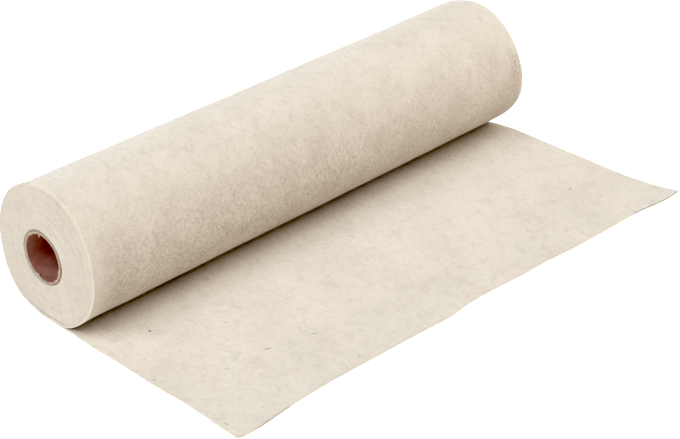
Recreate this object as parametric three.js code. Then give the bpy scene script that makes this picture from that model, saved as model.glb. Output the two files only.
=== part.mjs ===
// A roll of needled wool felt, wound on a paper tube. It lies on its side on a flat surface,
// and the last stretch of the cloth is rolled out flat beside it.
//
// Millimetres, +Z up. The roll's length runs along Y, its open near end faces -Y, and the
// loose end runs out along +X. The origin is on the surface, under the middle of the footprint.
//
// The cloth comes in along the surface from its cut edge, passes under the roll, goes up its
// far side (-X), over the top and down the side that faces +X, where it is one turn deeper.
import * as THREE from "three";

// ---- driving sizes -------------------------------------------------------------------------
const CLOTH_WIDTH = 450; // across the cloth, which is also the roll's length
const FELT = 1.5; // thickness of the felt
const GAP = 0.3; // clearance between pieces that touch

const ROLL_RADIUS = 52.2; // outside of the outer turn, on the mean of one turn
const ROLL_AXIS_HEIGHT = 52.3; // under the outer turn's radius, so the roll sits on a flat spot
const TUBE_INNER_RADIUS = 18.1;
const TUBE_OUTER_RADIUS = 19.8;
const TUBE_OFF_AXIS = { x: -4.9, z: -3.2 }; // the winding has sunk, so the tube sits off centre

const CURL_LENGTH = 55; // how far in from the cut edge the cloth starts to lift
const ROLL_SIDES = 96;
const TUBE_SIDES = 64;

// How far the roll's section is from a true circle, as waves around it, all along the roll or
// at one end. "peak" is the angle of a wave's first crest, in degrees from the underside, up
// the far side and over.
const OUT_OF_ROUND = [
  { where: "all", waves: 3, height: 0.25, peak: 19 },
  { where: "all", waves: 4, height: 0.45, peak: 17 },
  { where: "near", waves: 2, height: 1.85, peak: 33 },
  { where: "near", waves: 3, height: 0.4, peak: 61 },
  { where: "near", waves: 4, height: 0.65, peak: 45 },
  { where: "far", waves: 2, height: 0.45, peak: 119 },
  { where: "far", waves: 3, height: 0.3, peak: 17 },
  { where: "far", waves: 4, height: 0.55, peak: 14 },
];

// By its own weight the roll bulges over the cloth that leaves it, and the near end's underside
// is drawn up. "height" is how far out it goes at most, "peak" where that is in degrees from the
// underside, and "spread" how far it reaches round.
const BULGES = [
  { where: "all", height: 3.6, peak: 346, spread: 15.5 },
  { where: "near", height: -2.2, peak: 345, spread: 14 },
  { where: "near", height: -2.8, peak: 18, spread: 15 },
];

// The roll's girth along its length. "from" is measured from the roll's middle, "size" is times
// the nominal radius, and "near" and "far" are the shares of each end's own waves. The outer
// turn flares at the near end, and at the far end the turns are drawn in.
const GIRTH = [
  { from: -225, size: 1.028, near: 1, far: 0 },
  { from: -220, size: 1.018, near: 0.8, far: 0 },
  { from: -212, size: 1.007, near: 0.5, far: 0 },
  { from: -200, size: 1.002, near: 0.25, far: 0 },
  { from: -180, size: 1.0, near: 0.05, far: 0 },
  { from: 0, size: 1.0, near: 0, far: 0 },
  { from: 110, size: 1.004, near: 0, far: 0.25 },
  { from: 185, size: 1.009, near: 0, far: 0.8 },
  { from: 211, size: 1.013, near: 0, far: 1 },
  { from: 216, size: 1.009, near: 0, far: 1 },
  { from: 220, size: 0.985, near: 0, far: 1 },
  { from: 225, size: 0.89, near: 0, far: 1 },
];

// The cut edge of the loose end. "across" is the place along the edge, "reach" its distance
// from the line where the cloth leaves the roll, and "lift" the height of its underside.
const CUT_EDGE = [
  { across: -225, reach: 191.6, lift: 0.3 },
  { across: -209, reach: 192.8, lift: 0.9 },
  { across: -187, reach: 191.1, lift: 1.0 },
  { across: -160, reach: 189.1, lift: 0.3 },
  { across: -130, reach: 189.2, lift: 0.1 },
  { across: -96, reach: 190.7, lift: 0.3 },
  { across: -62, reach: 192.2, lift: 0.5 },
  { across: -28, reach: 193.9, lift: 0.6 },
  { across: 0, reach: 191.6, lift: 0.2 },
  { across: 20, reach: 192.0, lift: 0.2 },
  { across: 52, reach: 194.2, lift: 0.4 },
  { across: 79, reach: 194.7, lift: 0.3 },
  { across: 105, reach: 197.0, lift: 0.3 },
  { across: 140, reach: 198.2, lift: 0.3 },
  { across: 170, reach: 198.8, lift: 0.5 },
  { across: 188, reach: 200.5, lift: 1.4 },
  { across: 201, reach: 204.0, lift: 2.9 },
  { across: 213, reach: 206.8, lift: 4.6 },
  { across: 225, reach: 208.0, lift: 6.3 },
];

// The loose end's far side edge is drawn in where it comes off the roll. "run" is the distance
// from that line, and "drawn" how far in the edge lies.
const FAR_SIDE = [
  { run: 0, drawn: 6.2 },
  { run: 17, drawn: 5.9 },
  { run: 30, drawn: 2.4 },
  { run: 42, drawn: 0.4 },
  { run: 60, drawn: 0.0 },
];
const RUN_STATIONS = [0, 17, 30, 42, 60, 100, 136]; // past these the steps follow the curl
const CURL_STEPS = 5;
// ----------------------------------------------------------------------------------------------

const FELT_COLOUR = 0xe3dbcb;
const FELT_OUTER_COLOUR = 0xddd3c1;
const TUBE_COLOUR = 0xae7f6e;

// Reads one column of a table at a place between its rows, along a smooth curve through them.
function along(table, place, column, at) {
  const last = table.length - 1;
  if (at <= table[0][place]) return table[0][column];
  if (at >= table[last][place]) return table[last][column];
  let i = 0;
  while (table[i + 1][place] < at) i++;
  const slope = (k) => {
    const a = table[Math.max(k - 1, 0)],
      b = table[Math.min(k + 1, last)];
    return (b[column] - a[column]) / (b[place] - a[place]);
  };
  const step = table[i + 1][place] - table[i][place],
    t = (at - table[i][place]) / step;
  return (
    (2 * t ** 3 - 3 * t ** 2 + 1) * table[i][column] +
    (t ** 3 - 2 * t ** 2 + t) * step * slope(i) +
    (3 * t ** 2 - 2 * t ** 3) * table[i + 1][column] +
    (t ** 3 - t ** 2) * step * slope(i + 1)
  );
}

function geometryOf(vertices, triangles) {
  const g = new THREE.BufferGeometry();
  g.setAttribute("position", new THREE.Float32BufferAttribute(vertices, 3));
  g.setIndex(triangles);
  g.computeVertexNormals();
  return g;
}

// The outline of the wound form at one place along it, as [x, z] from the underside's step
// round to the step again, one felt thickness further in.
function rollOutline(station) {
  const outline = [];
  for (let k = 0; k <= ROLL_SIDES; k++) {
    const turn = k / ROLL_SIDES,
      angle = 2 * Math.PI * turn;
    let radius = ROLL_RADIUS + FELT * (0.5 - turn);
    for (const { where, waves, height, peak } of OUT_OF_ROUND) {
      const share = where === "all" ? 1 : station[where];
      radius += share * height * Math.cos(waves * (angle - THREE.MathUtils.degToRad(peak)));
    }
    for (const { where, height, peak, spread } of BULGES) {
      const share = where === "all" ? 1 : station[where],
        off = THREE.MathUtils.radToDeg(angle) - peak;
      radius += share * height * Math.exp(-((off / spread) ** 2));
    }
    radius *= station.size;
    const underside = turn < 0.5 ? 0 : FELT + GAP;
    outline.push([
      -radius * Math.sin(angle),
      Math.max(underside, ROLL_AXIS_HEIGHT - radius * Math.cos(angle)),
    ]);
  }
  return outline;
}

// The wound form: its sections are joined along Y, with the tube's bore through it.
function woundForm() {
  const vertices = [],
    triangles = [],
    ring = ROLL_SIDES + 1,
    stations = GIRTH.length;
  for (const station of GIRTH)
    for (const [x, z] of rollOutline(station)) vertices.push(x, station.from, z);
  const bore = [];
  for (const end of [GIRTH[0].from, GIRTH[stations - 1].from]) {
    bore.push(vertices.length / 3);
    for (let k = 0; k < ROLL_SIDES; k++) {
      const angle = (2 * Math.PI * k) / ROLL_SIDES,
        radius = TUBE_OUTER_RADIUS + GAP;
      vertices.push(
        TUBE_OFF_AXIS.x - radius * Math.sin(angle),
        end,
        ROLL_AXIS_HEIGHT + TUBE_OFF_AXIS.z - radius * Math.cos(angle),
      );
    }
  }
  // The outside and the step, all round each stretch between two sections.
  for (let s = 0; s < stations - 1; s++)
    for (let k = 0; k < ring; k++) {
      const a = s * ring + k,
        b = s * ring + ((k + 1) % ring);
      triangles.push(a, b, b + ring, a, b + ring, a + ring);
    }
  // The two end faces, and the bore.
  const farEdge = (stations - 1) * ring;
  for (let k = 0; k < ROLL_SIDES; k++) {
    const next = (k + 1) % ROLL_SIDES;
    triangles.push(k, bore[0] + next, k + 1, k, bore[0] + k, bore[0] + next);
    const outer = farEdge + k;
    triangles.push(outer, outer + 1, bore[1] + next, outer, bore[1] + next, bore[1] + k);
    triangles.push(bore[0] + k, bore[1] + next, bore[0] + next);
    triangles.push(bore[0] + k, bore[1] + k, bore[1] + next);
  }
  triangles.push(ROLL_SIDES, bore[0], 0);
  triangles.push(farEdge + ROLL_SIDES, farEdge, bore[1]);
  return geometryOf(vertices, triangles);
}

// The loose end: one sheet with its wavy cut edge, its lifted corner and its drawn-in side.
function looseEnd() {
  const rows = CUT_EDGE.flatMap((row, i) => {
    const next = CUT_EDGE[i + 1];
    return next ? [row.across, (row.across + next.across) / 2] : [row.across];
  });
  const vertices = [],
    triangles = [];
  let columns = 0;
  for (const side of [0, FELT])
    for (const across of rows) {
      const reach = along(CUT_EDGE, "across", "reach", across),
        lift = along(CUT_EDGE, "across", "lift", across),
        flat = reach - CURL_LENGTH,
        runs = [...RUN_STATIONS.filter((run) => run < flat - 5)];
      while (runs.length < RUN_STATIONS.length) runs.push(flat);
      for (let c = 1; c <= CURL_STEPS; c++)
        runs.push(flat + (CURL_LENGTH * c) / CURL_STEPS);
      runs[0] = GAP;
      columns = runs.length;
      for (const run of runs) {
        const curl = Math.max(0, (run - flat) / CURL_LENGTH),
          drawn = along(FAR_SIDE, "run", "drawn", run),
          share = Math.max(0, across / (CLOTH_WIDTH / 2)) ** 6;
        vertices.push(run, across - drawn * share, side + lift * curl ** 2);
      }
    }
  const under = (i, j) => i * columns + j,
    top = (i, j) => (rows.length + i) * columns + j;
  for (let i = 0; i < rows.length - 1; i++)
    for (let j = 0; j < columns - 1; j++) {
      triangles.push(top(i, j), top(i, j + 1), top(i + 1, j + 1));
      triangles.push(top(i, j), top(i + 1, j + 1), top(i + 1, j));
      triangles.push(under(i, j), under(i + 1, j + 1), under(i, j + 1));
      triangles.push(under(i, j), under(i + 1, j), under(i + 1, j + 1));
    }
  const wall = (a, b, c, d) => triangles.push(a, b, c, a, c, d);
  for (let j = 0; j < columns - 1; j++) {
    wall(under(0, j), under(0, j + 1), top(0, j + 1), top(0, j));
    const far = rows.length - 1;
    wall(under(far, j), top(far, j), top(far, j + 1), under(far, j + 1));
  }
  for (let i = 0; i < rows.length - 1; i++) {
    wall(under(i, 0), top(i, 0), top(i + 1, 0), under(i + 1, 0));
    const cut = columns - 1;
    wall(under(i, cut), under(i + 1, cut), top(i + 1, cut), top(i, cut));
  }
  return geometryOf(vertices, triangles);
}

// The paper tube: a closed profile turned about Y.
function tube() {
  const half = CLOTH_WIDTH / 2;
  return new THREE.LatheGeometry(
    [
      [TUBE_INNER_RADIUS, -half],
      [TUBE_OUTER_RADIUS, -half],
      [TUBE_OUTER_RADIUS, half],
      [TUBE_INNER_RADIUS, half],
      [TUBE_INNER_RADIUS, -half],
    ].map(([r, y]) => new THREE.Vector2(r, y)),
    TUBE_SIDES,
  );
}

function piece(name, geometry, colour, roughness) {
  const mesh = new THREE.Mesh(
    geometry,
    new THREE.MeshStandardMaterial({ color: colour, roughness, metalness: 0 }),
  );
  mesh.name = name;
  return mesh;
}

const roll = new THREE.Group();
roll.add(piece("felt_roll", woundForm(), FELT_OUTER_COLOUR, 1));
roll.add(piece("felt_loose_end", looseEnd(), FELT_COLOUR, 1));
const core = piece("core_tube", tube(), TUBE_COLOUR, 0.85);
core.position.set(TUBE_OFF_AXIS.x, 0, ROLL_AXIS_HEIGHT + TUBE_OFF_AXIS.z);
roll.add(core);

// The origin goes under the middle of the footprint.
const footprint = new THREE.Box3().setFromObject(roll);
roll.position.x = -(footprint.min.x + footprint.max.x) / 2;

const part = new THREE.Group();
part.add(roll);
export default part;
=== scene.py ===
"""A roll of needled wool felt on a paper tube, lying on its side with its loose end rolled out.

Sizes below are in millimetres, in the frame of the CAD part: +Z up, the roll's length along Y, its open near end
facing -Y and the loose end running out along +X. Meshes are made in metres.
"""
import math

import bpy
import numpy as np
from mathutils import Matrix, Vector


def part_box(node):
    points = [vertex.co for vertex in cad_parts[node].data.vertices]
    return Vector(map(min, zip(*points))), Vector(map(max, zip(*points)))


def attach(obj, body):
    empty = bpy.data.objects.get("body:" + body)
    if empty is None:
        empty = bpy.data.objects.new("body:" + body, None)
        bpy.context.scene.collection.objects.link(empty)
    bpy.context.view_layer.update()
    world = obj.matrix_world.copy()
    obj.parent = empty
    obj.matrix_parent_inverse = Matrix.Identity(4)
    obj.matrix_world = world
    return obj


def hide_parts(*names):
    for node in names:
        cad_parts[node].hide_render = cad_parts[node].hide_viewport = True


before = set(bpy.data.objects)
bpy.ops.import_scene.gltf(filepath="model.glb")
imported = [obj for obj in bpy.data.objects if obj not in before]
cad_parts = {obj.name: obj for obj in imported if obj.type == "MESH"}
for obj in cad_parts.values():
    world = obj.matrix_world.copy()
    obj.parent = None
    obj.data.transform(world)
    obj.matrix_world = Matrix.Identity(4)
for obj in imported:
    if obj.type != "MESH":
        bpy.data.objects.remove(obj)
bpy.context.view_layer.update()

# ---- sizes of the CAD part -------------------------------------------------------------------
FELT = 1.5
ROLL_RADIUS = 52.2
ROLL_AXIS_HEIGHT = 52.3
TUBE_INNER_RADIUS = 18.1
TUBE_OUTER_RADIUS = 19.8
TUBE_OFF_AXIS_X, TUBE_OFF_AXIS_Z = -4.9, -3.2
HALF = 225.0
CURL_LENGTH = 55.0

AXIS_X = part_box("felt_loose_end")[0].x * 1000 - 0.3  # the roll's contact line, along X

OUT_OF_ROUND = [  # where, waves, height, peak
    ("all", 3, 0.25, 19),
    ("all", 4, 0.45, 17),
    ("near", 2, 1.85, 33),
    ("near", 3, 0.4, 61),
    ("near", 4, 0.65, 45),
    ("far", 2, 0.45, 119),
    ("far", 3, 0.3, 17),
    ("far", 4, 0.55, 14),
]
BULGES = [  # where, height, peak, spread
    ("all", 3.6, 346, 15.5),
    ("near", -2.2, 345, 14),
    ("near", -2.8, 18, 15),
]
GIRTH = np.array(
    [  # from the middle, size, near, far
        (-225, 1.028, 1, 0),
        (-220, 1.018, 0.8, 0),
        (-212, 1.007, 0.5, 0),
        (-200, 1.002, 0.25, 0),
        (-180, 1.0, 0.05, 0),
        (0, 1.0, 0, 0),
        (110, 1.004, 0, 0.25),
        (185, 1.009, 0, 0.8),
        (211, 1.013, 0, 1),
        (216, 1.009, 0, 1),
        (220, 0.985, 0, 1),
        (225, 0.89, 0, 1),
    ]
)
CUT_EDGE = np.array(
    [  # across, reach, lift
        (-225, 191.6, 0.3),
        (-209, 192.8, 0.9),
        (-187, 191.1, 1.0),
        (-160, 189.1, 0.3),
        (-130, 189.2, 0.1),
        (-96, 190.7, 0.3),
        (-62, 192.2, 0.5),
        (-28, 193.9, 0.6),
        (0, 191.6, 0.2),
        (20, 192.0, 0.2),
        (52, 194.2, 0.4),
        (79, 194.7, 0.3),
        (105, 197.0, 0.3),
        (140, 198.2, 0.3),
        (170, 198.8, 0.5),
        (188, 200.5, 1.4),
        (201, 204.0, 2.9),
        (213, 206.8, 4.6),
        (225, 208.0, 6.3),
    ]
)
FAR_SIDE = np.array([(0, 6.2), (17, 5.9), (30, 2.4), (42, 0.4), (60, 0.0)])  # run, drawn
# The near side's edge wanders by about the felt's thickness: run, how far out.
NEAR_SIDE = np.array([(0, 0.8), (34, 1.0), (51, 1.1), (68, 0.6), (84, 0.45), (101, 0.9), (118, 0.65), (135, -0.3), (151, -0.1), (168, 0.65), (185, 1.1), (192, 1.1)])

# ---- helpers ---------------------------------------------------------------------------------


def along(table, column, at):
    """One column of a table read at places between its rows, along a smooth curve through them."""
    x, y = table[:, 0], table[:, column]
    at = np.clip(np.asarray(at, float), x[0], x[-1])
    i = np.clip(np.searchsorted(x, at, side="right") - 1, 0, len(x) - 2)
    last = len(x) - 1
    low, high = np.maximum(np.arange(len(x)) - 1, 0), np.minimum(np.arange(len(x)) + 1, last)
    slope = (y[high] - y[low]) / (x[high] - x[low])
    step = x[i + 1] - x[i]
    t = (at - x[i]) / step
    return (
        (2 * t**3 - 3 * t**2 + 1) * y[i]
        + (t**3 - 2 * t**2 + t) * step * slope[i]
        + (3 * t**2 - 2 * t**3) * y[i + 1]
        + (t**3 - t**2) * step * slope[i + 1]
    )


def smooth(low, high, at):
    t = np.clip((np.asarray(at, float) - low) / (high - low), 0, 1)
    return t * t * (3 - 2 * t)


def wander(seed, waves, strength_falls=0.8):
    """A smooth random function of one number, about -1 to 1, whose waves have the lengths given."""
    r = np.random.default_rng(seed)
    terms = [(2 * math.pi / w, r.uniform(0, 2 * math.pi), strength_falls**k) for k, w in enumerate(waves)]
    total = math.sqrt(sum(a * a for _, _, a in terms) / 2) * 1.6

    def read(at):
        at = np.asarray(at, float)
        return sum(a * np.sin(k * at + p) for k, p, a in terms) / total

    return read


def wander2(seed, lengths, count=7):
    """A smooth random function of two numbers, about -1 to 1."""
    r = np.random.default_rng(seed)
    terms = []
    for length in lengths:
        for _ in range(count):
            way = r.uniform(0, 2 * math.pi)
            k = 2 * math.pi / (length * r.uniform(0.75, 1.35))
            terms.append((k * math.cos(way), k * math.sin(way), r.uniform(0, 2 * math.pi), length / max(lengths)))
    total = math.sqrt(sum(a * a for *_, a in terms) / 2) * 1.8

    def read(u, v):
        return sum(a * np.sin(ku * u + kv * v + p) for ku, kv, p, a in terms) / total

    return read


def make(name, points, faces, materials, slots=None, attributes=None):
    """A mesh object from points in millimetres of the roll's frame (x from the contact line)."""
    points = np.asarray(points, float).copy()
    points[:, 0] += AXIS_X
    mesh = bpy.data.meshes.new(name)
    mesh.from_pydata((points * 0.001).tolist(), [], [tuple(int(v) for v in f) for f in faces])
    mesh.polygons.foreach_set("use_smooth", [True] * len(mesh.polygons))
    for m in materials:
        mesh.materials.append(m)
    if slots is not None:
        mesh.polygons.foreach_set("material_index", [int(s) for s in slots])
    for key, values in (attributes or {}).items():
        layer = mesh.attributes.new(key, "FLOAT", "POINT")
        layer.data.foreach_set("value", np.asarray(values, np.float32))
    mesh.validate()
    mesh.update()
    obj = bpy.data.objects.new(name, mesh)
    bpy.context.scene.collection.objects.link(obj)
    return obj


# ---- the wound roll --------------------------------------------------------------------------
AROUND = 240
TURNS = 21
ROWS = (0.0, 0.09, 0.26, 0.5, 0.74, 0.91)  # places across one turn's thickness
PER = len(ROWS)
sag = wander2(3, [150, 80])
dents = wander2(5, [46, 28])


def roll_surface(angle, turn, y):
    """Points of the roll's outer surface, in the roll's frame."""
    size, near, far = along(GIRTH, 1, y), along(GIRTH, 2, y), along(GIRTH, 3, y)
    share = {"all": 1.0, "near": near, "far": far}
    radius = ROLL_RADIUS + FELT * (0.5 - turn)
    for where, waves, height, peak in OUT_OF_ROUND:
        radius = radius + share[where] * height * np.cos(waves * (angle - math.radians(peak)))
    for where, height, peak, spread in BULGES:
        radius = radius + share[where] * height * np.exp(-(((np.degrees(angle) - peak) / spread) ** 2))
    # Soft unevenness of the outer turn, and the crease that a hand has left near the end.
    arc = angle * ROLL_RADIUS
    calm = smooth(0, 0.06, turn) * smooth(1.0, 0.95, turn)
    radius = radius + calm * (0.16 * sag(arc, y) + 0.09 * dents(arc, y))
    crease = np.exp(-(((y + 201.6 + 0.9 * np.sin((angle - 4.7) * 3)) / 1.5) ** 2))
    radius = radius + 0.34 * crease * smooth(4.45, 4.62, angle) * smooth(5.15, 4.9, angle)
    trough = np.exp(-(((y + 206.5) / 3.2) ** 2))
    radius = radius - 0.30 * trough * smooth(4.3, 4.55, angle) * smooth(5.3, 4.95, angle)
    radius = radius * size
    x = -radius * np.sin(angle)
    z = ROLL_AXIS_HEIGHT - radius * np.cos(angle)
    floor = np.where(turn < 0.5, 0.0, FELT + 0.02)
    # A soft minimum keeps the flat spot's edge from creasing.
    z = floor + np.where(z - floor > 0.5, z - floor, np.where(z - floor < -0.5, 0, (z - floor + 0.5) ** 2 / 2.0))
    return x, z


def wound_roll(felt):
    angle = 2 * math.pi * np.arange(AROUND) / AROUND
    turn = angle / (2 * math.pi)
    points, faces, pale_edge_and_highlight, painted_shade, wear_and_shade = [], [], [], [], []

    def add(x, y, z, lip_share=0.0, painted_shade_share=0.0, wear_and_shade_share=0.0):
        points.append((x, y, z))
        pale_edge_and_highlight.append(lip_share)
        painted_shade.append(painted_shade_share)
        wear_and_shade.append(wear_and_shade_share)
        return len(points) - 1

    tube_x = TUBE_OFF_AXIS_X - (TUBE_OUTER_RADIUS + 0.12) * np.sin(angle)
    tube_z = ROLL_AXIS_HEIGHT + TUBE_OFF_AXIS_Z - (TUBE_OUTER_RADIUS + 0.12) * np.cos(angle)

    # How far each turn's edge stands out of the end, along the cloth from the contact line inwards.
    near_wave = wander(11, [0.83, 0.37, 1.9, 3.1])
    lip_wave = wander(13, [9.0, 5.2, 15.0, 27.0], 0.9)  # along the outer turn's edge
    far_wave = wander(12, [0.61, 1.3, 2.7])

    def near_out(s):
        # The outer turn stands out as a lip, from the top of the roll down its +X side.
        proud = 0.62 * smooth(0.36, 0.5, s) * (1 - smooth(1.0, 1.08, s))
        ragged = 0.2 * lip_wave(s * 328) * smooth(0.3, 0.4, s) * (1 - smooth(0.7, 0.85, s))
        return proud + ragged + 0.13 * near_wave(s) - 0.15 * np.exp(-((s - 1.6) ** 2) / 0.15)

    # The side of the roll, from the top down its +X side, whose outer edge is painted paler: the pale cut fibres and
    # a painted highlight where the light catches it.
    def lit_lip_at(i):
        return float(smooth(0.36, 0.5, turn[i]))

    def far_out(s):
        return -6.3 * np.exp(-np.maximum(s - 0.3, 0) / 2.3) + 0.3 * far_wave(s)

    profile = {0.0: -1.0, 0.09: -0.42, 0.26: 0.0, 0.5: 0.13, 0.74: 0.0, 0.91: -0.42}

    def end_ring(end):
        """Vertex numbers of one end face: for each column of the grid, from the outer corner to the tube."""
        y_end = -HALF if end < 0 else 219.0
        out = near_out if end < 0 else far_out
        groove = 0.07 if end < 0 else 0.34
        edge_y = y_end
        ox, oz = roll_surface(angle, turn, np.full(AROUND, float(edge_y)))
        columns = []
        for i in range(AROUND):
            rows = 20 * PER + 1 + (PER if i == 0 else 0)
            column = []
            for j in range(rows):
                k, f = divmod(j, PER)
                depth = k + ROWS[f]
                g = depth / (TURNS + 0.5 - turn[i])
                s = k + turn[i]
                w = out(s)
                if f == 0:
                    w = min(w, out(s - 1)) if k else w
                    w = w - groove * (0.6 if k else 1.6)
                else:
                    w = w + groove * profile[ROWS[f]]
                x = ox[i] + (tube_x[i] - ox[i]) * g
                z = oz[i] + (tube_z[i] - oz[i]) * g
                y = y_end + end * w if end < 0 else HALF + w
                # The outer turn's edge takes a pale tint, the pale cut fibres and a painted highlight on its lit
                # side; the line between two turns takes painted shade.
                column.append(
                    add(
                        x,
                        y,
                        z,
                        lit_lip_at(i) * (1 if f else 0.6) if k == 0 else 0.0,
                        1.0 if f == 0 and k else 0.0,
                    )
                )
            # The innermost turn stands back from the tube, most on the side that faces the loose end; the gap there
            # takes a strong painted shade.
            w = out(20.4) - 0.3 - 0.5 * smooth(0.68, 0.78, turn[i]) * smooth(0.95, 0.88, turn[i])
            column.append(add(tube_x[i], y_end + end * w if end < 0 else HALF + w, tube_z[i], 0, 4.0))
            columns.append(column)
        return columns

    near, far = end_ring(-1), end_ring(1)

    # The outside, from the near corner to the far one.
    stations = np.concatenate(
        [
            [-225.25, -224.9, -224.3, -223.2, -221.6, -219.6, -217.2, -214.6, -212, -209.5, -207, -205.2, -203.8],
            [-202.6, -201.6, -200.6, -199.4, -197.8, -195.5, -192, -187, -181, -174],
            np.linspace(-166, 200, 46),
            [203.5, 206.5, 209.2, 211.6, 213.6, 215.2, 216.5, 217.5, 218.2, 218.65],
        ]
    )
    rings = []
    for y in stations:
        ox, oz = roll_surface(angle, turn, np.full(AROUND, float(y)))
        # The outer turn's corner is rounded at both ends.
        inward = 0.28 * smooth(-224.2, -225.3, y) + 0.42 * smooth(217.6, 218.9, y)
        nx, nz = -np.sin(angle), -np.cos(angle)
        ox = ox - nx * inward
        oz = np.where(oz - nz * inward < oz, oz, oz - nz * inward)
        # At the near corner the outside takes the same pale tint and painted highlight.
        end_share = float(smooth(-224.3, -225.3, y))
        # The outer turn is greyer, darker and rougher down the side that faces the loose end: partly wear, partly
        # painted shade down that side towards the contact line.
        wear_and_shade_share = 1.25 * smooth(0.54, 0.80, turn) * (1 - 0.4 * smooth(0.87, 0.96, turn))
        wear_and_shade_share = wear_and_shade_share * smooth(-226, -205, y) * (1 - 0.35 * smooth(-50, 200, y))
        smudge = 1.6 * np.exp(-(((turn - 0.715) / 0.035) ** 2) - ((y - 212) / 6.5) ** 2)
        wear_and_shade_share = wear_and_shade_share + smudge
        rings.append([add(ox[i], y, oz[i], end_share * lit_lip_at(i), 0, float(wear_and_shade_share[i])) for i in range(AROUND)])
    # The last column of the outside ends on the first turn's inside, at the contact line.
    inner = []
    for y in stations:
        ox, oz = roll_surface(np.array([2 * math.pi]), np.array([1.0]), np.array([float(y)]))
        # The first turn's inside at the contact line takes full painted shade and the full wear and painted shade
        # tint.
        inner.append(add(float(ox[0]), y, float(oz[0]), 0, 1.0, 1.0))

    n = AROUND
    for a in range(len(rings) - 1):
        for i in range(n - 1):
            faces.append((rings[a][i], rings[a + 1][i], rings[a + 1][i + 1], rings[a][i + 1]))
        faces.append((rings[a][n - 1], rings[a + 1][n - 1], inner[a + 1], inner[a]))
        faces.append((inner[a], inner[a + 1], rings[a + 1][0], rings[a][0]))

    # Each end: the grid's columns, the seam one turn further in, and the corner to the outside.
    for columns, end, ring, corner in ((near, -1, rings[0], inner[0]), (far, 1, rings[-1], inner[-1])):
        def quad(a, b, c, d):
            faces.append((a, b, c, d) if end < 0 else (d, c, b, a))

        rows = 20 * PER
        for i in range(n - 1):
            this, nxt = columns[i], columns[i + 1]
            for j in range(rows):
                quad(this[j], nxt[j], nxt[j + 1], this[j + 1])
            if i == 0:
                # The first column has one turn more, which narrows to the tube here.
                tail = this[rows:]
                for a, b in zip(tail[:-2], tail[1:-1]):
                    faces.append((a, nxt[rows], b) if end < 0 else (b, nxt[rows], a))
                quad(tail[-2], nxt[rows], nxt[rows + 1], tail[-1])
            else:
                quad(this[rows], nxt[rows], nxt[rows + 1], this[rows + 1])
        this, first = columns[n - 1], columns[0]
        for j in range(rows):
            quad(this[j], first[j + PER], first[j + PER + 1], this[j + 1])
        quad(this[rows], first[rows + PER], first[-1], this[rows + 1])
        for i in range(n - 1):
            quad(ring[i], ring[i + 1], columns[i + 1][0], columns[i][0])
        quad(ring[n - 1], corner, columns[0][PER], columns[n - 1][0])
        # The step at the contact line, one felt thick.
        step = [corner, ring[0]] + [columns[0][j] for j in range(0, PER + 1)]
        faces.append(tuple(step if end < 0 else reversed(step)))
    # The bore of the winding.
    for i in range(n):
        j = (i + 1) % n
        faces.append((near[i][-1], near[j][-1], far[j][-1], far[i][-1]))
    return make("wound_felt", points, faces, [felt], attributes={"pale_edge_and_highlight": pale_edge_and_highlight, "painted_shade": painted_shade, "wear_and_shade": wear_and_shade})


# ---- the loose end ---------------------------------------------------------------------------
ripple = wander2(8, [95, 55])
edge_waves = {side: wander(seed, [3.1, 5.3, 8.9, 17.0, 2.2], 1.0) for side, seed in (("cut", 31), ("near", 32), ("far", 33))}


def sheet_at(across, run_share):
    """Place of the sheet's underside for a place across it and a share of the way to the cut edge."""
    reach = along(CUT_EDGE, 1, across)
    lift = along(CUT_EDGE, 2, across)
    # The near corner is a little rounded.
    reach = reach - 1.5 * np.exp(-(across + HALF) / 1.3)
    run = run_share * reach
    curl = np.clip((run - (reach - CURL_LENGTH)) / CURL_LENGTH, 0, 1)
    drawn = along(FAR_SIDE, 1, run)
    share = np.maximum(0, across / HALF) ** 6
    y = across - drawn * share - along(NEAR_SIDE, 1, run) * np.maximum(0, -across / HALF) ** 12
    free = smooth(12, 60, run)
    hump = 0.5 * np.exp(-(((run - 25) / 7) ** 2)) * smooth(18.5, 21.5, run)
    z = hump + lift * curl**2 + 0.32 * free * np.maximum(0, 0.35 + ripple(run, y)) * smooth(1.0, 0.9, run_share) * 0.8
    return run, y, z


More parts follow.
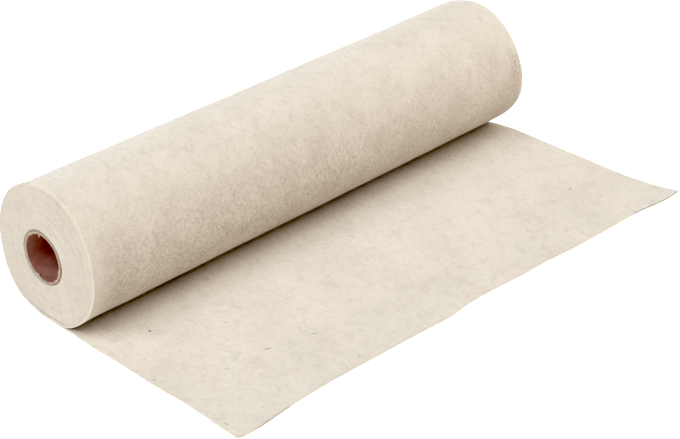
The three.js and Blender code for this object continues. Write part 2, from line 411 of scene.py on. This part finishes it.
def loose_end(felt):
    across = np.concatenate(
        [
            [-224.5, -223.6, -222.2, -220.2],
            np.linspace(-217.6, 217.6, 170),
            [220.2, 222.2, 223.6, 224.5],
        ]
    )
    runs = np.concatenate([np.linspace(0, 0.08, 4), np.linspace(0.09, 0.24, 16), np.linspace(0.26, 0.9, 46), np.linspace(0.9, 1, 14)[1:-1], [0.9955]])
    a_count, r_count = len(across), len(runs)
    A, R = np.meshgrid(across, runs, indexing="ij")
    X, Y, Z = sheet_at(A, R)
    X[:, -1] = along(CUT_EDGE, 1, across) - 1.5 * np.exp(-(across + HALF) / 1.3) - 0.5
    points = []
    edge, shade, wear_and_shade = [], [], []
    for side in (1, 0):  # top, then underside
        for i in range(a_count):
            for j in range(r_count):
                points.append((X[i, j], Y[i, j], Z[i, j] + side * FELT))
                edge.append(0.0)
                shade.append(0.0)
                # Painted shade and mottling on the sheet next to the roll, strongest at the contact line.
                wear_and_shade.append(0.42 * float(smooth(40, 8, X[i, j])))
    top = lambda i, j: i * r_count + j
    under = lambda i, j: a_count * r_count + i * r_count + j
    faces = []
    for i in range(a_count - 1):
        for j in range(r_count - 1):
            faces.append((top(i, j), top(i, j + 1), top(i + 1, j + 1), top(i + 1, j)))
            faces.append((under(i, j), under(i + 1, j), under(i + 1, j + 1), under(i, j + 1)))
    # The rim, rounded as cut felt is: near side, cut edge, far side.
    path = [(0, j) for j in range(r_count)]
    path += [(i, r_count - 1) for i in range(1, a_count)]
    path += [(a_count - 1, j) for j in range(r_count - 2, -1, -1)]
    flat = np.array([(X[i, j], Y[i, j]) for i, j in path])
    ahead = np.gradient(flat, axis=0)
    normal = np.stack([ahead[:, 1], -ahead[:, 0]], 1)
    normal /= np.linalg.norm(normal, axis=1)[:, None]
    length = np.concatenate([[0], np.cumsum(np.linalg.norm(np.diff(flat, axis=0), axis=1))])
    jag = 0.14 * edge_waves["cut"](length)
    at_cut = np.array([j == r_count - 1 for _, j in path])
    lifted = np.where(at_cut, along(CUT_EDGE, 2, across[[i for i, _ in path]]), 0)
    rims = []
    for out, up in ((0.34, 1.33), (0.5, 0.76), (0.36, 0.16)):
        ring = []
        for k, (i, j) in enumerate(path):
            o = out + jag[k] * (out / 0.5)
            points.append((flat[k, 0] + normal[k, 0] * o, flat[k, 1] + normal[k, 1] * o, Z[i, j] + up))
            # Where the edge is lifted, its foot is in shade: painted shade, a darker tint on the lower rim rings in
            # place of the pale edge.
            foot = smooth(0.75, 1.0, lifted[k]) if up < 1 else 0.0
            edge.append(0.8 - 0.8 * float(foot))
            wear_and_shade.append(0.0)
            shade.append(float(foot) * (8.0 if up < 0.5 else 6.5))
            ring.append(len(points) - 1)
        rims.append(ring)
    tops = [top(i, j) for i, j in path]
    unders = [under(i, j) for i, j in path]
    bands = [tops, *rims, unders]
    for upper, lower in zip(bands[:-1], bands[1:]):
        for k in range(len(path) - 1):
            faces.append((upper[k], lower[k], lower[k + 1], upper[k + 1]))
    # The end at the contact line.
    for i in range(a_count - 1):
        faces.append((top(i, 0), top(i + 1, 0), under(i + 1, 0), under(i, 0)))
    faces.append((bands[0][0], bands[4][0], bands[3][0], bands[2][0], bands[1][0]))
    faces.append((bands[0][-1], bands[1][-1], bands[2][-1], bands[3][-1], bands[4][-1]))
    return make(
        "loose_end_felt",
        points,
        faces,
        [felt],
        attributes={"pale_edge_and_highlight": edge, "painted_shade": shade, "wear_and_shade": wear_and_shade},
    )


# ---- the paper tube --------------------------------------------------------------------------
TORN = [  # angle from the underside, clockwise seen from the near end; how far it hangs into the bore; width
    (22, 2.7, 4.5),
    (145, 1.0, 5.0),
    (160, 0.5, 9.0),
    (174, 2.9, 2.8),
    (245, 0.6, 3.5),
    (284, 1.3, 8.0),
    (290, 0.8, 4.0),
    (316, 1.0, 4.5),
    (75, 0.35, 8.0),
]


def paper_tube(paper, board):
    around = 168
    angle = 2 * math.pi * np.arange(around) / around
    degrees = np.degrees(angle)
    rim_noise = wander(41, [360 / 41, 360 / 23, 360 / 67, 360 / 13], 1.0)
    face_noise = wander(42, [360 / 31, 360 / 53, 360 / 17, 360 / 7], 1.0)
    points, faces, slots = [], [], []
    rings = []

    def ring(radius, y):
        y = np.broadcast_to(y, angle.shape)
        radius = np.broadcast_to(radius, angle.shape)
        first = len(points)
        for i in range(around):
            points.append(
                (
                    TUBE_OFF_AXIS_X - radius[i] * math.sin(angle[i]),
                    float(y[i]),
                    ROLL_AXIS_HEIGHT + TUBE_OFF_AXIS_Z - radius[i] * math.cos(angle[i]),
                )
            )
        rings.append(range(first, first + around))

    def seam(y):
        """The inner ply's edge, wound along the tube: a shallow step and a fine gap."""
        turn = (y / 74.0 + angle / (2 * math.pi)) % 1.0
        return 0.10 * np.exp(-(((turn - 0.5) / 0.012) ** 2)) - 0.05 * (turn - 0.5)

    kinds = []  # material of the band that ends at each ring: 0 paper, 1 cut board
    torn = np.zeros(around)
    for at, deep, wide in TORN:
        off = (degrees - at + 180) % 360 - 180
        torn = np.maximum(torn, deep * np.maximum(0, 1 - (np.abs(off) / wide) ** 1.5))
    # Outside, far end to near end.
    ring(TUBE_OUTER_RADIUS - 0.02, HALF - 0.7)
    kinds.append(0)
    ring(TUBE_OUTER_RADIUS - 0.02, -HALF + 0.5)
    kinds.append(0)
    # Near cut end.
    rough = 0.10 * rim_noise(degrees) + 0.28 * np.exp(-(((degrees - 228) / 26) ** 2))
    inner = TUBE_INNER_RADIUS
    ring(TUBE_OUTER_RADIUS - 0.10, -HALF + 0.02 + 0.06 * face_noise(degrees))
    kinds.append(1)
    ring(TUBE_OUTER_RADIUS - 0.42, -HALF - 0.14 + 0.10 * face_noise(degrees * 1.7))
    kinds.append(0)
    ring(inner + 0.95, -HALF - 0.10 + 0.10 * face_noise(degrees * 2.3 + 50))
    kinds.append(1)
    ring(inner + 0.55 + rough * 0.6, -HALF - 0.20 + 0.12 * face_noise(degrees * 1.3 + 90))
    kinds.append(1)
    ring(inner + 0.14 + rough * 1.2 - torn * 0.5, -HALF - 0.17 - 0.05 * torn + 0.12 * rim_noise(degrees + 40))
    kinds.append(1)
    ring(inner - 0.03 + rough * 1.4 - torn, -HALF + 0.06 - 0.1 * torn + 0.12 * rim_noise(degrees + 140))
    kinds.append(1)
    ring(inner + 0.02 + rough - torn * 0.55, -HALF + 0.5 + 0.1 * torn)
    kinds.append(1)
    # Bore.
    for y in np.concatenate([[-223.6, -222.2], np.linspace(-220, 220, 60), [222.2, 223.6]]):
        fade = float(smooth(-HALF + 3.5, -HALF + 1.2, y))
        ring(TUBE_INNER_RADIUS + seam(y) * (1 - fade) + rough * fade - torn * 0.1 * fade, y)
        kinds.append(0)
    # Far cut end.
    ring(inner + 0.08 + rough * 0.5, HALF - 0.3)
    kinds.append(0)
    ring(inner + 0.4 + rough * 0.5, HALF + 0.0 + 0.1 * face_noise(degrees * 1.1))
    kinds.append(1)
    ring(inner + 0.9, HALF + 0.12 + 0.12 * face_noise(degrees * 1.9))
    kinds.append(1)
    ring(TUBE_OUTER_RADIUS - 0.4, HALF + 0.08 + 0.1 * face_noise(degrees * 2.9))
    kinds.append(1)
    ring(TUBE_OUTER_RADIUS - 0.08, HALF - 0.2)
    kinds.append(1)
    total = len(rings)
    for a in range(total):
        b = (a + 1) % total
        for i in range(around):
            j = (i + 1) % around
            faces.append((rings[a][i], rings[a][j], rings[b][j], rings[b][i]))
            slots.append(kinds[b])
    return make("paper_tube", points, faces, [paper, board], slots=slots)


# ---- materials -------------------------------------------------------------------------------


class Nodes:
    """A short way to write a material's nodes."""

    def __init__(self, name):
        self.material = bpy.data.materials.new(name)
        self.material.use_nodes = True
        self.tree = self.material.node_tree
        self.tree.nodes.clear()
        self.output = self.tree.nodes.new("ShaderNodeOutputMaterial")
        self.shader = self.tree.nodes.new("ShaderNodeBsdfPrincipled")
        self.tree.links.new(self.shader.outputs[0], self.output.inputs["Surface"])
        self.place = self.tree.nodes.new("ShaderNodeTexCoord").outputs["Object"]

    def set(self, socket, value):
        if hasattr(value, "is_output"):
            self.tree.links.new(value, socket)
        else:
            socket.default_value = value

    def math(self, kind, a, b=0.0, c=None, clamp=False):
        n = self.tree.nodes.new("ShaderNodeMath")
        n.operation = kind
        n.use_clamp = clamp
        self.set(n.inputs[0], a)
        self.set(n.inputs[1], b)
        if c is not None:
            self.set(n.inputs[2], c)
        return n.outputs[0]

    def stretch(self, scale, turn=(0, 0, 0), shift=(0, 0, 0), vector=None):
        n = self.tree.nodes.new("ShaderNodeMapping")
        self.set(n.inputs["Vector"], vector or self.place)
        n.inputs["Scale"].default_value = scale
        n.inputs["Rotation"].default_value = [math.radians(t) for t in turn]
        n.inputs["Location"].default_value = shift
        return n.outputs[0]

    def noise(self, size_mm, detail=2.0, rough=0.5, twist=0.0, vector=None, lacunarity=2.0):
        n = self.tree.nodes.new("ShaderNodeTexNoise")
        self.set(n.inputs["Vector"], vector or self.place)
        n.inputs["Scale"].default_value = 1000.0 / size_mm
        n.inputs["Detail"].default_value = detail
        n.inputs["Roughness"].default_value = rough
        n.inputs["Lacunarity"].default_value = lacunarity
        n.inputs["Distortion"].default_value = twist
        return n.outputs["Fac"]

    def steps(self, value, low, high, to_low=0.0, to_high=1.0, kind="SMOOTHSTEP"):
        n = self.tree.nodes.new("ShaderNodeMapRange")
        n.interpolation_type = kind
        self.set(n.inputs["Value"], value)
        n.inputs["From Min"].default_value = low
        n.inputs["From Max"].default_value = high
        n.inputs["To Min"].default_value = to_low
        n.inputs["To Max"].default_value = to_high
        return n.outputs["Result"]

    def mix(self, share, a, b, kind="MIX"):
        n = self.tree.nodes.new("ShaderNodeMix")
        n.data_type = "RGBA"
        n.blend_type = kind
        self.set(n.inputs["Factor"], share)
        self.set(n.inputs[6], a)
        self.set(n.inputs[7], b)
        return n.outputs[2]

    def read(self, name):
        n = self.tree.nodes.new("ShaderNodeAttribute")
        n.attribute_name = name
        return n.outputs["Fac"]

    def bump(self, height, distance_mm, strength=1.0, below=None):
        n = self.tree.nodes.new("ShaderNodeBump")
        n.inputs["Strength"].default_value = strength
        n.inputs["Distance"].default_value = distance_mm * 0.001
        self.set(n.inputs["Height"], height)
        if below is not None:
            self.set(n.inputs["Normal"], below)
        return n.outputs[0]


def colour(r, g, b):
    """A colour given in the numbers of a picture, 0 to 255."""
    return tuple((c / 255 / 12.92) if c <= 10 else ((c / 255 + 0.055) / 1.055) ** 2.4 for c in (r, g, b)) + (1.0,)


def wool(r, g, b):
    """The felt's own colour for how it looks in the full light, where it shows a tenth brighter than it is."""
    red, green, blue, _ = colour(r, g, b)
    return (red * 0.935, green * 0.922, blue * 0.903, 1.0)


SPECKS = [  # x from the contact line, y, size, how long for its size, its turn in degrees, strength
    (59.5, -186.8, 1.1, 1.2, 20, 1.0),
    (140.2, 176.0, 1.4, 1.4, 70, 0.55),
    (106.2, -222.9, 1.3, 1.3, 40, 0.42),
    (175.5, -222.0, 1.3, 1.8, 10, 0.3),
    (132.5, -145.2, 1.0, 4.0, 62, 0.5),
    (142.2, -109.9, 1.1, 3.0, 50, 0.42),
    (127.6, -105.2, 0.8, 4.0, 35, 0.4),
    (88.3, -142.4, 0.9, 3.0, 75, 0.35),
    (130.2, -180.7, 0.8, 4.0, 58, 0.35),
]


def felt_material():
    m = Nodes("felt")
    # Tone: wide soft patches, mid mottling, and the grain of the matted fibres.
    patches = m.noise(52, 3.0, 0.55, 0.4)
    mottle = m.noise(9, 4.0, 0.62, 0.6)
    grain = m.noise(2.3, 2.0, 0.6, 0.5)
    base = m.mix(m.steps(patches, 0.34, 0.68), wool(230.5, 222, 209), wool(224.5, 216, 202))
    base = m.mix(m.steps(mottle, 0.46, 0.80, 0, 0.5), base, wool(204, 193, 179))
    base = m.mix(m.steps(grain, 0.34, 0.78, 0.0, 0.16), base, wool(203, 192, 177))
    # Wear and painted shade: greyer, darker and more mottled down the roll's +X side and on the sheet next to the
    # roll.
    wear_and_shade = m.read("wear_and_shade")
    base = m.mix(m.math("MULTIPLY", wear_and_shade, 0.15), base, wool(182, 164, 142))
    cloud = m.math("MULTIPLY", m.steps(m.noise(24, 3.0, 0.55, 0.3), 0.42, 0.62), wear_and_shade)
    base = m.mix(m.math("MULTIPLY", cloud, 0.15, clamp=True), base, wool(176, 157, 138))
    matted = m.math("MULTIPLY", m.steps(m.noise(2.2, 3.0, 0.7, 0.2), 0.42, 0.64), wear_and_shade)
    base = m.mix(m.math("MULTIPLY", matted, 0.30, clamp=True), base, wool(164, 144, 122))
    bright = m.stretch((1, 1, 1), (15, 40, 70), (0.4, 0.8, 0.2))
    bright = m.math("MULTIPLY", m.steps(m.noise(1.7, 1.0, 0.5, 0.2, bright), 0.56, 0.70), wear_and_shade)
    base = m.mix(m.math("MULTIPLY", bright, 0.34, clamp=True), base, wool(236, 228, 215))
    # Short streaks where the fibres lie one way, which is level in the photograph's view.
    lay = m.stretch((0.30, 1.0, 1.0), (0, 0, -45))
    streak = m.steps(m.noise(3.4, 3.0, 0.6, 0.7, lay), 0.58, 0.76)
    base = m.mix(m.math("MULTIPLY", streak, 0.18), base, wool(190, 177, 160))
    # Fibres: thin winding lines, brown-grey and white, in several lays.
    for k, (size, width, dark, share) in enumerate(
        [
            (9.0, 0.010, wool(150, 132, 112), 0.19),
            (6.5, 0.011, wool(168, 152, 133), 0.17),
            (7.5, 0.009, wool(242, 237, 228), 0.20),
            (5.0, 0.012, wool(244, 240, 232), 0.17),
        ]
    ):
        where = m.stretch((1, 1, 1), (37 * k + 10, 61 * k, 23 * k + 5), (0.13 * k, 0.07 * k, 0.21 * k))
        line = m.math("ABSOLUTE", m.math("SUBTRACT", m.noise(size, 2.0, 0.55, 1.4, where), 0.5))
        line = m.steps(line, 0.0, width, 1.0, 0.0)
        gaps = m.steps(m.noise(8.0, 2.0, 0.5, 0.0, m.stretch((1, 1, 1), (0, 0, 0), (0.3 * k + 0.5, 0.2, 0.1))), 0.46, 0.58)
        base = m.mix(m.math("MULTIPLY", m.math("MULTIPLY", line, gaps), share), base, dark)
    # A sparse darker fleck.
    fleck = m.steps(m.noise(1.9, 1.0, 0.5, 0.8, m.stretch((1, 1, 1), (20, 30, 60), (0.9, 0.1, 0.4))), 0.70, 0.80)
    fleck = m.math("MULTIPLY", fleck, m.steps(m.noise(11, 2.0, 0.5), 0.5, 0.62))
    base = m.mix(m.math("MULTIPLY", fleck, 0.35), base, wool(140, 122, 104))
    # The few specks and dark hairs that show on the loose end.
    for x, y, size, long, turn, strength in SPECKS:
        n = m.tree.nodes.new("ShaderNodeMapping")
        n.vector_type = "TEXTURE"
        m.set(n.inputs["Vector"], m.place)
        n.inputs["Location"].default_value = ((x + AXIS_X) * 0.001, y * 0.001, FELT * 0.001)
        n.inputs["Rotation"].default_value = (0, 0, math.radians(turn))
        n.inputs["Scale"].default_value = (size * long * 0.001, size * 0.001, 0.004)
        length = m.tree.nodes.new("ShaderNodeVectorMath")
        length.operation = "LENGTH"
        m.set(length.inputs[0], n.outputs[0])
        rough = m.math("ADD", length.outputs["Value"], m.math("MULTIPLY", m.noise(1.2, 1.0), 0.8))
        spot = m.steps(rough, 0.75, 1.35, 1.0, 0.0)
        base = m.mix(m.math("MULTIPLY", spot, strength), base, wool(124, 86, 70))
    # Cut edges are paler: the pale cut fibres, and on the roll's outer turn also a painted highlight on its lit side.
    # Painted shade darkens the lines between two turns, the gap at the tube, the contact line and the foot of the
    # sheet's lifted edge.
    base = m.mix(m.math("MULTIPLY", m.read("pale_edge_and_highlight"), 0.5, clamp=True), base, wool(246, 237, 221))
    base = m.mix(m.math("MULTIPLY", m.read("painted_shade"), 0.12, clamp=True), base, wool(148, 132, 112))
    m.set(m.shader.inputs["Base Color"], base)
    m.shader.inputs["Roughness"].default_value = 0.95
    m.shader.inputs["Diffuse Roughness"].default_value = 0.8
    m.shader.inputs["Specular IOR Level"].default_value = 0.12
    m.shader.inputs["Sheen Weight"].default_value = 0.12
    m.shader.inputs["Sheen Roughness"].default_value = 0.6
    relief = m.math("ADD", m.math("MULTIPLY", grain, 1.0), m.math("MULTIPLY", m.noise(1.0, 2.0, 0.6, 0.6), 0.2))
    relief = m.math("ADD", relief, m.math("MULTIPLY", m.noise(4.8, 2.0, 0.55, 0.4), 1.1))
    m.set(m.shader.inputs["Normal"], m.bump(relief, 0.74, 1.0))
    return m.material


def paper_material():
    m = Nodes("tube_paper")
    fibre = m.noise(1.6, 3.0, 0.6, 0.5, m.stretch((1, 0.35, 1)))
    cloud = m.noise(14, 3.0, 0.6)
    base = m.mix(m.steps(cloud, 0.35, 0.68), colour(189, 141, 123), colour(172, 124, 107))
    base = m.mix(m.steps(fibre, 0.4, 0.72, 0, 0.45), base, colour(148, 106, 91))
    m.set(m.shader.inputs["Base Color"], base)
    m.shader.inputs["Roughness"].default_value = 0.6
    m.shader.inputs["Specular IOR Level"].default_value = 0.6
    m.set(m.shader.inputs["Normal"], m.bump(fibre, 0.12, 0.6))
    return m.material


def board_material():
    m = Nodes("tube_cut_board")
    ply = m.noise(0.8, 3.0, 0.65, 0.8)
    cloud = m.noise(4.0, 3.0, 0.6)
    base = m.mix(m.steps(cloud, 0.38, 0.66), colour(198, 180, 162), colour(180, 160, 142))
    base = m.mix(m.steps(ply, 0.5, 0.75, 0, 0.5), base, colour(156, 131, 113))
    m.set(m.shader.inputs["Base Color"], base)
    m.shader.inputs["Roughness"].default_value = 0.95
    m.shader.inputs["Specular IOR Level"].default_value = 0.15
    m.set(m.shader.inputs["Normal"], m.bump(ply, 0.3, 0.9))
    return m.material


# ---- camera, floor and light -----------------------------------------------------------------


def camera():
    data = bpy.data.cameras.new("camera")
    data.sensor_fit = "HORIZONTAL"
    data.sensor_width = 36.0
    data.lens = 94.754
    data.clip_start, data.clip_end = 0.05, 30.0
    cam = bpy.data.objects.new("camera", data)
    bpy.context.scene.collection.objects.link(cam)
    az, el, roll = (math.radians(a) for a in (44.253, 30.185, 0.306))
    back = Vector((math.sin(az) * math.cos(el), -math.cos(az) * math.cos(el), math.sin(el)))
    right = Vector((math.cos(az), math.sin(az), 0))
    up = back.cross(right)
    turned_right = right * math.cos(roll) + up * math.sin(roll)
    turned_up = up * math.cos(roll) - right * math.sin(roll)
    place = Matrix((turned_right, turned_up, back)).transposed().to_4x4()
    place.translation = Vector((AXIS_X + 59.423, 0, 13.182)) * 0.001 + back * 1.341216
    cam.matrix_world = place
    bpy.context.scene.camera = cam


def floor():
    mesh = bpy.data.meshes.new("floor")
    s, z = 6.0, -0.00015
    mesh.from_pydata([(-s, -s, z), (s, -s, z), (s, s, z), (-s, s, z)], [], [(0, 1, 2, 3)])
    obj = bpy.data.objects.new("floor", mesh)
    bpy.context.scene.collection.objects.link(obj)
    m = Nodes("floor")
    m.shader.inputs["Base Color"].default_value = (0.15, 0.15, 0.15, 1)
    m.shader.inputs["Emission Color"].default_value = (1, 1, 1, 1)
    m.shader.inputs["Emission Strength"].default_value = 1.0
    m.shader.inputs["Roughness"].default_value = 0.9
    m.shader.inputs["Specular IOR Level"].default_value = 0.1
    mesh.materials.append(m.material)


LIGHTS = [  # azimuth and elevation of where it stands, watts, colour
    (356, 52, 29.8, (0.92, 1.025, 1.17)),
    (120, 60, 37.5, (1.01, 1.028, 1.05)),
    (345, 30, 6.4, (1.0, 0.97, 0.9)),
    (180, 30, 8.6, (1.0, 1.03, 1.1)),
    (140, 30, 3.6, (1.28, 1.02, 0.77)),
]
LIGHT_SIZE, LIGHT_DISTANCE = 1.6, 2.4


def lights():
    for azimuth, elevation, watts, tint in LIGHTS:
        name = f"soft_light_{azimuth}_{elevation}"
        data = bpy.data.lights.new(name, "AREA")
        data.shape = "DISK"
        data.size = LIGHT_SIZE
        data.energy = watts
        data.color = tint
        obj = bpy.data.objects.new(name, data)
        az, el = math.radians(azimuth), math.radians(elevation)
        back = Vector((math.sin(az) * math.cos(el), -math.cos(az) * math.cos(el), math.sin(el)))
        obj.location = Vector((0, 0, 0.04)) + back * LIGHT_DISTANCE
        obj.rotation_mode = "QUATERNION"
        obj.rotation_quaternion = (-back).to_track_quat("-Z", "Y")
        bpy.context.scene.collection.objects.link(obj)
    # A white surround that is bright at the level of the floor and dim overhead.
    world = bpy.data.worlds.new("studio")
    world.use_nodes = True
    tree = world.node_tree
    place = tree.nodes.new("ShaderNodeTexCoord")
    split = tree.nodes.new("ShaderNodeSeparateXYZ")
    tree.links.new(place.outputs["Generated"], split.inputs[0])
    fall = tree.nodes.new("ShaderNodeMapRange")
    fall.interpolation_type = "SMOOTHSTEP"
    for key, value in (("From Min", 0.10), ("From Max", 0.38), ("To Min", 1.22), ("To Max", 0.06)):
        fall.inputs[key].default_value = value
    tree.links.new(split.outputs["Z"], fall.inputs["Value"])
    background = tree.nodes["Background"]
    background.inputs[0].default_value = (1.11, 1.0, 0.84, 1)
    tree.links.new(fall.outputs["Result"], background.inputs[1])
    bpy.context.scene.world = world


camera()
felt = felt_material()
paper, board = paper_material(), board_material()

roll = wound_roll(felt)
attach(roll, "root")
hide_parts("felt_roll")

sheet = loose_end(felt)
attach(sheet, "root")
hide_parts("felt_loose_end")

tube = paper_tube(paper, board)
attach(tube, "root")
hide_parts("core_tube")

floor()
lights()
view = bpy.context.scene.view_settings
view.view_transform = "Standard"
view.look = "None"
view.exposure = 0.0
# A photograph's deep blacks: what is under this level is black, and shade is a little richer.
view.use_curve_mapping = True
view.curve_mapping.black_level = (0.064, 0.056, 0.047)
view.curve_mapping.white_level = (1.0, 1.0, 1.0)
view.curve_mapping.update()
